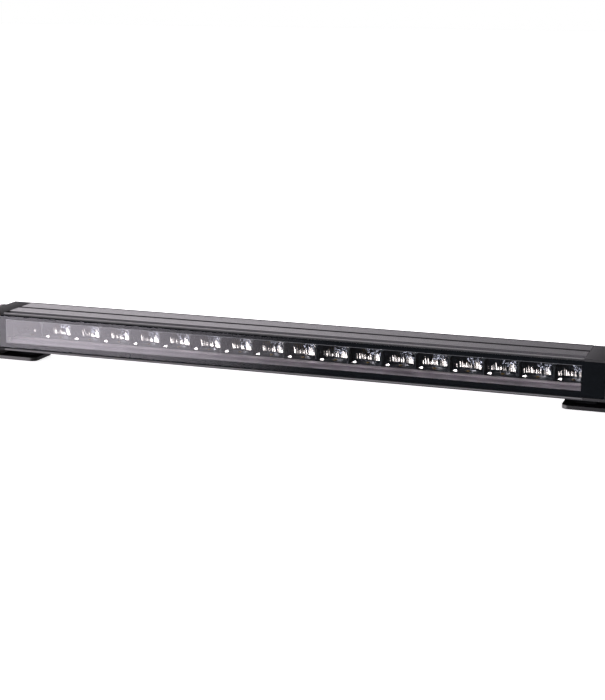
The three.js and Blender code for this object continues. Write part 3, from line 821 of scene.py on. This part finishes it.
def net(verts, faces, centre_x, rng):
    """A net of fine strokes at the upper right, toned darker and bluer for a painted reflection."""
    for _ in range(NET["strokes"]):
        dx = rng.uniform(*NET["dx"])
        z = rng.uniform(*NET["z"])
        length = rng.uniform(*NET["half_length"])
        lean = math.radians(rng.uniform(0, 180))
        along = Vector((math.cos(lean), math.sin(lean)))
        off = Vector((-along.y, along.x)) * NET["half_width"]
        along *= length
        stroke = [-along - off, along - off, along + off, -along + off]
        azimuth = rng.uniform(*NET["azimuth"])
        tilt = FACET_TILT - 3 + rng.uniform(-2, 2)
        facet(verts, faces, stroke, before_wall(centre_x, dx, z), azimuth, tilt)


def make_cups(name, xs, rng):
    """The linings of one module's cups, each stage with its own finish."""
    verts, faces, finishes = [], [], []
    stages = (lining, plain_faces, ramps, partial(flutes, rng=rng), partial(net, rng=rng))
    for x in xs:
        for finish, add in enumerate(stages):
            add(verts, faces, x)
            finishes += [finish] * (len(faces) - len(finishes))
    mesh = bpy.data.meshes.new(name)
    mesh.from_pydata([tuple(v) for v in verts], [], faces)
    for finish in CUP_FINISHES:
        mesh.materials.append(MATERIALS[finish])
    mesh.polygons.foreach_set("material_index", finishes)
    obj = bpy.data.objects.new(name, mesh)
    bpy.context.scene.collection.objects.link(obj)
    shade(obj, 30)
    return obj


def make_bezel(name, centre_x, xs):
    """The black moulding round the cups of one module, a little clear of their linings."""
    gap, half, top = 0.12, PER_MODULE * LED_PITCH / 2 - 0.15, WALL["high"] - 0.3
    body = block(name, (centre_x - half, CUP["front"], BEZEL_LOW), (centre_x + half, BEZEL_BACK, top))
    cutters = []
    for x in xs:
        sections = []
        for u in CUP_CUTTER_DEPTHS:
            sections.append([at(x + dx, u, z) for dx, z in cup_section(max(u, CUP["front"]), gap)])
        cutters.append(loft("cut", sections))
    combine(body, cutters)
    body.data.materials.clear()
    body.data.materials.append(MATERIALS["bezel"])
    return body


def make_emitters(name, xs):
    """The emitters of one module: a round base with a dome on it, below the focus of each cup."""
    profile = [(1.75, 8), (1.75, 8.9), (1.3, 8.9), (1.15, 9.2), (0.8, 9.45), (0.05, 9.58)]
    return joined(name, [turned("emitter", profile, 20, upward(x, FOCUS_U)) for x in xs], MATERIALS["dome"])


def make_light_engine():
    rng = random.Random(7)
    for m, module in enumerate(MODULES):
        centre = (m - (len(MODULES) - 1) / 2) * PER_MODULE * LED_PITCH
        xs = [centre + (i - (PER_MODULE - 1) / 2) * LED_PITCH for i in range(PER_MODULE)]
        mount(make_cups(f"cups_{module}", xs, rng), "bar", "mirror_cup")
        mount(make_bezel(f"bezel_{module}", centre, xs), "bar", "mirror_cup", f"reflector_{module}")
        emitters = make_emitters(f"emitters_{module}", xs)
        first = m * PER_MODULE + 1
        mount(emitters, "bar", "led_phosphor", *[f"led_{i:02d}" for i in range(first, first + PER_MODULE)])


make_light_engine()

# ---- Position light strip ----

VALLEY = {"front": 11.7, "middle": 12.5, "back": 13.4}


def make_strip():
    """The light guide: a low sill in front, then a valley and the slope behind it. One finish in three tones:
    the slope lighter with faint painted light of its own, the valley and the sill darker as painted shade.
    """
    outline = [(5.2, 6.1), (19.6, 6.1), (19.6, 8.7), (VALLEY["back"], 8.2), (VALLEY["middle"], 7.5)]
    outline += [(VALLEY["front"], 7.6), (5.2, 6.7)]
    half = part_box("position_light_strip")[1].x / MM
    strip = along_x("light_strip", rounded(outline, 0.3), -half, half, MATERIALS["strip"])
    strip.data.materials.append(MATERIALS["valley"])
    strip.data.materials.append(MATERIALS["strip_front"])
    # The valley's upward faces and the sill take painted shade; the rest keeps the lighter tone.
    near = 0.1
    for polygon in strip.data.polygons:
        u = (polygon.center.y - FRONT_Y) / MM
        if VALLEY["front"] - near < u < VALLEY["back"] + near and polygon.normal.z > 0:
            polygon.material_index = 1
        elif u < VALLEY["front"] - near:
            polygon.material_index = 2
    mount(strip, "bar", "milky_strip", "position_light_strip")


make_strip()

# ---- Foot brackets and side bolts ----

PLATE = 3
FOOT_INNER = 226.5
FOOT_HALF_DEPTH = 16
EAR_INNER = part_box("bracket_right")[1].x / MM - PLATE
PIVOT_HOLE_RADIUS = 4.5
WASHER_BORE = 4.4


def make_bracket(side, sign):
    """A plate folded up into an ear, with a slot in its foot; a plan and an ear outline round its corners."""
    bend = 3
    ear_outer = EAR_INNER + PLATE
    floor_z = -UNDERSIDE_Z / MM
    top = PIVOT_Z + FOOT_HALF_DEPTH
    fold = [(FOOT_INNER, floor_z)]
    fold += arc(ear_outer - bend - PLATE, floor_z + bend + PLATE, bend + PLATE, -90, 0, 10)
    fold += [(ear_outer, top), (EAR_INNER, top)]
    fold += arc(EAR_INNER - bend, floor_z + bend + PLATE, bend, 0, -90, 10)
    fold += [(FOOT_INNER, floor_z + PLATE)]
    fold = [(sign * x, z) for x, z in fold]
    low_u, high_u = PIVOT_U - FOOT_HALF_DEPTH, PIVOT_U + FOOT_HALF_DEPTH
    bracket = along_u(f"bracket_plate_{side}", fold, low_u, high_u, MATERIALS["bracket"])
    dome = arc(PIVOT_U, PIVOT_Z, FOOT_HALF_DEPTH, 0, 180, 48)
    ear = [(high_u, floor_z - 2)] + dome + [(low_u, floor_z - 2)]
    xs = sorted((sign * (FOOT_INNER - 2), sign * (ear_outer + 2)))
    corner, far = 5, ear_outer + 12
    plan = arc(far - corner, low_u + corner, corner, -90, 0, 4)
    plan += arc(far - corner, high_u - corner, corner, 0, 90, 4)
    plan += arc(FOOT_INNER + corner, high_u - corner, corner, 90, 180, 10)
    plan += arc(FOOT_INNER + corner, low_u + corner, corner, 180, 270, 10)
    plan = [(sign * x, u) for x, u in plan]
    trims = [along_x("cut", ear, *xs), along_z("cut", plan, floor_z - 2, top + 2)]
    combine(bracket, trims, "INTERSECT")
    slot_x, half_width, half_length = 243, 4.5, 9
    slot = arc(slot_x + half_length - half_width, PIVOT_U, half_width, -90, 90, 16)
    slot += arc(slot_x - half_length + half_width, PIVOT_U, half_width, 90, 270, 16)
    slot = [(sign * x, u) for x, u in slot]
    through_ear = sorted((sign * 260, sign * 280))
    hole = along_x("cut", ring(PIVOT_HOLE_RADIUS, 40, PIVOT_U, PIVOT_Z), *through_ear)
    combine(bracket, [along_z("cut", slot, floor_z - 2, floor_z + PLATE + 2), hole])
    # The foot's top and the walls of its slot take the darker copy: painted shade under the bar.
    bracket.data.materials.append(MATERIALS["painted_shade_on_foot"])
    near = 0.1
    for polygon in bracket.data.polygons:
        normal, centre = polygon.normal, polygon.center
        on_top = normal.z > 0.99 and centre.z < (PLATE + near) * MM
        reach_x, reach_u = abs(centre.x) / MM - slot_x, (centre.y - FRONT_Y) / MM - PIVOT_U
        in_slot = abs(reach_x) < half_length + near and abs(reach_u) < half_width + near
        if on_top or in_slot and abs(normal.z) < 0.1:
            polygon.material_index = 1
    soften(bracket, 0.35, 3, 40)
    mount(bracket, f"{side}_bracket", "bracket_paint", f"bracket_{side}")


def washer(name, x0, x1, outer, sign, material):
    """A flat ring on the pivot's axis, with its outer edges broken."""
    edge, count = 0.2, 48
    profile = [(WASHER_BORE, x0), (outer - edge, x0), (outer, x0 + edge), (outer, x1 - edge)]
    profile += [(outer - edge, x1), (WASHER_BORE, x1)]
    place = across_x(0, PIVOT_U, PIVOT_Z, sign)
    verts = [place(a, b, h) for radius, h in profile for a, b in ring(radius, count)]
    faces = []
    for s in range(len(profile)):
        a, b = s * count, (s + 1) % len(profile) * count
        for i in range(count):
            j = (i + 1) % count
            faces.append((a + i, a + j, b + j, b + i))
    return piece(name, verts, faces, MATERIALS[material], 35)


def make_side_fasteners(side, sign):
    """The friction disc inside the ear, and the washer and the button-head bolt outside it."""
    def span(node):
        low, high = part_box(node)
        return sorted((abs(low.x) / MM, abs(high.x) / MM))

    disc = washer(f"friction_pad_{side}", *span(f"friction_disc_{side}"), 11, sign, "nylon")
    mount(disc, "bar", "nylon", f"friction_disc_{side}")
    flat = washer(f"washer_{side}", *span(f"flat_washer_{side}"), 8, sign, "stainless")
    mount(flat, "bar", "stainless", f"flat_washer_{side}")
    head_x = span(f"flat_washer_{side}")[1] + 0.2
    profile = [(3.6, -16.9), (4, -16.4), (4, 0), (6.7, 0), (7, 0.3), (7, 1), (6.6, 2.1), (5.6, 3.3)]
    profile += [(4.4, 4.1), (3.3, 4.38)]
    place = across_x(sign * head_x, PIVOT_U, PIVOT_Z, sign)
    bolt = turned(f"side_bolt_{side}", profile, 48, place, MATERIALS["stainless"])
    combine(bolt, [turned("cut", [(2.6, 1.7), (2.6, 6)], 6, place)])
    mount(bolt, "bar", "stainless", f"pivot_bolt_{side}")


for side, sign in SIDES.items():
    make_bracket(side, sign)
    make_side_fasteners(side, sign)

# ---- Inlet and breather ----


def make_inlet():
    """The threaded inlet with notches round its collar, and its contact block and pins."""
    thread = [(8, 52.4)]
    for i in range(12):
        u = 53 + i
        thread += [(8, u), (7.55, u + 0.35), (7.55, u + 0.55), (8, u + 0.9)]
    profile = [(6, 43.2), (6, 49.2), (9.1, 49.2), (9.5, 49.6), (9.5, 51.9), (9.2, 52.2)]
    profile += thread + [(7.8, 65.8), (7.4, 66)]
    inlet = turned("inlet", profile, 48, backward(0, PIVOT_Z), MATERIALS["plastic"])
    socket = turned("cut", [(6, 56), (6, 67)], 40, backward(0, PIVOT_Z))
    combine(inlet, [socket] + notches(8, 22.5, 9.9, 1.1, 0, 48.5, 52.3))
    mount(inlet, "bar", "black_plastic", "inlet_body")
    profile = [(5.7, 56.2), (5.7, 57.8), (5.5, 58)]
    contact_block = turned("contact_block", profile, 40, backward(0, PIVOT_Z), MATERIALS["plastic"])
    mount(contact_block, "bar", "black_plastic")
    pin, reach = [(0.8, 57.9), (0.8, 60.5), (0.45, 61)], (-2.4, 2.4)
    pins = [turned("pin", pin, 16, backward(dx, PIVOT_Z + dz)) for dx in reach for dz in reach]
    mount(joined("inlet_contacts", pins, MATERIALS["brass"]), "bar", "brass", "inlet_pins")


def make_breather():
    """The breather, with notches round its rim and a dimple in its cap."""
    profile = [(2.6, 44.5), (2.6, 48.3), (5.6, 48.3), (6.2, 48.5), (6.5, 49), (6.5, 50.4), (6.2, 51)]
    profile.append((5.4, 51.4))
    vent = turned("breather", profile, 48, backward(VENT_X, PIVOT_Z), MATERIALS["plastic"])
    dimple = turned("cut", [(3, 51), (3.2, 52)], 32, backward(VENT_X, PIVOT_Z))
    combine(vent, notches(6, 0, 6.4, 0.9, VENT_X, 48, 50.2) + [dimple])
    mount(vent, "bar", "black_plastic", "breather_vent")


make_inlet()
make_breather()

for node, material, width in (
    ("led_board", "white_board", 0), ("driver_board", "green_board", 0.2), ("lead_red", "red", 0),
    ("lead_black", "rubber", 0), ("inlet_seal", "rubber", 0.1), ("inlet_nut", "brass", 0.2),
    ("position_emitter_left", "white_board", 0.1), ("position_emitter_right", "white_board", 0.1),
    ("reflector_screw_1", "black_steel", 0), ("reflector_screw_2", "black_steel", 0),
    ("reflector_screw_3", "black_steel", 0),
):
    repaint(node, material, width)

# ---- Floor, light and camera ----


def make_floor():
    """A wide pale floor just under the feet, bright enough to fade into the background."""
    size, z = 30, -0.0003
    corners = [(-size, -size, z), (size, -size, z), (size, size, z), (-size, size, z)]
    floor = piece("floor", corners, [(0, 1, 2, 3)])
    nodes = Nodes("pale floor")
    nodes.shader.inputs["Roughness"].default_value = 0.9
    nodes.shader.inputs["Specular IOR Level"].default_value = 0.0
    nodes.shader.inputs["Emission Color"].default_value = (1, 1, 1, 1)
    nodes.shader.inputs["Emission Strength"].default_value = 0.85
    nodes.link(nodes.ramp(nodes.noise(3), (0.2, (0.8, 0.8, 0.8)), (0.8, (0.84, 0.84, 0.84))),
               nodes.shader.inputs["Base Color"])
    floor.data.materials.append(nodes.material)
    floor.visible_glossy = False
    floor.visible_shadow = False


def make_world(ambient, tint, softboxes):
    """A dim studio with round soft lights far off, each (azimuth, elevation, inner, outer, strength) with its
    full light out to the inner angle and none past the outer one. The camera sees plain white instead."""
    world = bpy.data.worlds.new("studio")
    bpy.context.scene.world = world
    world.use_nodes = True
    tree = world.node_tree
    sky = tree.nodes.new("ShaderNodeTexCoord").outputs["Generated"]
    total = None
    for azimuth, elevation, inner, outer, strength in softboxes:
        dot = tree.nodes.new("ShaderNodeVectorMath")
        dot.operation = "DOT_PRODUCT"
        dot.inputs[1].default_value = direction(azimuth, elevation)
        tree.links.new(sky, dot.inputs[0])
        soft = tree.nodes.new("ShaderNodeMapRange")
        soft.interpolation_type = "SMOOTHSTEP"
        soft.inputs["From Min"].default_value = math.cos(math.radians(outer))
        soft.inputs["From Max"].default_value = math.cos(math.radians(inner))
        soft.inputs["To Max"].default_value = strength
        tree.links.new(dot.outputs["Value"], soft.inputs["Value"])
        add = tree.nodes.new("ShaderNodeMath")
        tree.links.new(soft.outputs["Result"], add.inputs[0])
        if total is None:
            add.inputs[1].default_value = ambient
        else:
            tree.links.new(total, add.inputs[1])
        total = add.outputs["Value"]
    # A Mix node's sockets: its factor is 0, its floats 2 and 3 give output 0, its colours 6 and 7 output 2.
    seen = tree.nodes.new("ShaderNodeLightPath").outputs["Is Camera Ray"]
    background = tree.nodes["Background"]
    level = tree.nodes.new("ShaderNodeMix")
    level.data_type = "FLOAT"
    tree.links.new(seen, level.inputs[0])
    tree.links.new(total, level.inputs[2])
    level.inputs[3].default_value = 1.0
    tree.links.new(level.outputs[0], background.inputs["Strength"])
    colour = tree.nodes.new("ShaderNodeMix")
    colour.data_type = "RGBA"
    tree.links.new(seen, colour.inputs[0])
    colour.inputs[6].default_value = (*tint, 1)
    colour.inputs[7].default_value = (1, 1, 1, 1)
    tree.links.new(colour.outputs[2], background.inputs["Color"])


def make_area(name, location, target, size, power):
    """A rectangular light aimed at a point, in metres and watts, that the camera doesn't see."""
    light = bpy.data.lights.new(name, "AREA")
    light.shape = "RECTANGLE"
    light.size, light.size_y = size
    light.energy = power
    obj = bpy.data.objects.new(name, light)
    obj.location = location
    aim = Vector(target) - Vector(location)
    obj.rotation_euler = aim.to_track_quat("-Z", "Y").to_euler()
    obj.visible_camera = False
    bpy.context.scene.collection.objects.link(obj)


def make_camera():
    """The camera stands to the right of the bar and above it, and looks a little down, a hair off level."""
    azimuth, elevation, roll = math.radians(18.526), math.radians(12.397), math.radians(-0.569)
    ahead = Vector((-math.sin(azimuth) * math.cos(elevation), math.cos(azimuth) * math.cos(elevation),
                    -math.sin(elevation)))
    right = Vector((math.cos(azimuth), math.sin(azimuth), 0))
    down = ahead.cross(right)
    image_right = right * math.cos(roll) + down * math.sin(roll)
    image_down = down * math.cos(roll) - right * math.sin(roll)
    camera = bpy.data.cameras.new("camera")
    camera.sensor_width = 36
    camera.lens = 78.45
    obj = bpy.data.objects.new("camera", camera)
    place = at(399.19, -1123.52, 281.84)
    columns = (image_right, -image_down, -ahead, place)
    obj.matrix_world = Matrix([[*(c[i] for c in columns)] for i in range(3)] + [[0, 0, 0, 1]])
    bpy.context.scene.collection.objects.link(obj)
    bpy.context.scene.camera = obj


make_floor()
# The first light gives the lens its sheen towards the left, and the next two light the facets in the cups.
# The others light the left side, the back, the top and the front.
make_world(0.045, (1.0, 0.94, 1.0), [
    (45, -12, 13, 27, 4.5),
    (45, 13, 5, 11, 14),
    (15, 16, 4, 9, 9),
    (105, 12, 38, 70, 2.0),
    (180, 16, 10, 60, 0.25),
    (20, 60, 12, 40, 1.0),
    (15, 24, 12, 30, 1.6),
])
make_area("overhead", (-0.1, -0.1, 1.2), (0, 0, 0), (1.2, 0.7), 7)
make_camera()
bpy.context.scene.view_settings.view_transform = "Standard"
